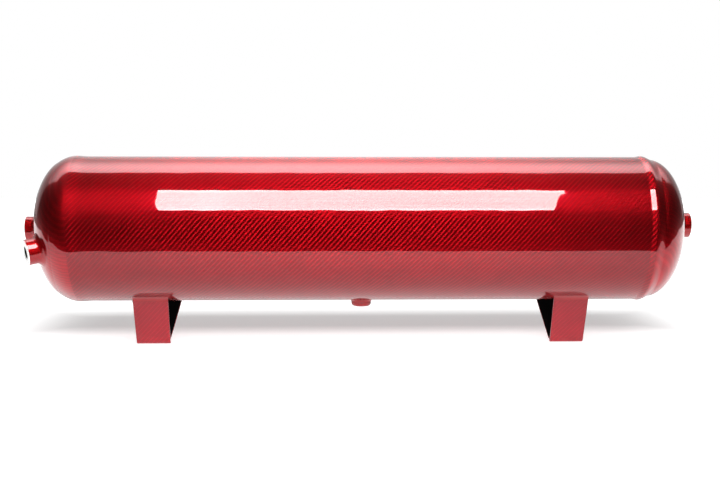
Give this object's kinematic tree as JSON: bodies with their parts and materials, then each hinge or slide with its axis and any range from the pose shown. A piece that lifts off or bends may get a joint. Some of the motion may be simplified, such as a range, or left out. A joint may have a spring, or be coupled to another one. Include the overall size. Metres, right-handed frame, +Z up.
{
  "type": "air receiver tank",
  "caption": "Horizontal cylindrical air receiver with dished heads, welded threaded ports and two bent-sheet feet.",
  "frame": {"origin": "on the floor under the middle of the tank", "axes": "+X along the tank towards the head with one port, -Y the front, where the off-centre port faces, +Z up"},
  "size_m": [0.8274, 0.1812, 0.2336],
  "materials": {
    "candy_weave": "gloss clear coat over a red twill weave print",
    "weld_paint": "the same gloss coat over the weld beads",
    "foot_paint": "the same gloss coat outside, dark inside",
    "port_steel": "bare machined face and threads, painted round its side"
  },
  "bodies": {
    "root": {"shell_tube": "candy_weave", "shell_seam_weld": "weld_paint", "left_head": "candy_weave", "right_head": "candy_weave", "left_girth_weld": "weld_paint", "right_girth_weld": "weld_paint", "left_centre_port": "port_steel", "left_centre_port_weld": "weld_paint", "left_side_port": "port_steel", "left_side_port_weld": "weld_paint", "right_centre_port": "port_steel", "right_centre_port_weld": "weld_paint", "drain_port": "port_steel", "drain_port_weld": "weld_paint", "left_foot": "foot_paint", "left_foot_front_weld": "weld_paint", "left_foot_rear_weld": "weld_paint", "right_foot": "foot_paint", "right_foot_front_weld": "weld_paint", "right_foot_rear_weld": "weld_paint"}
  },
  "joints": []
}
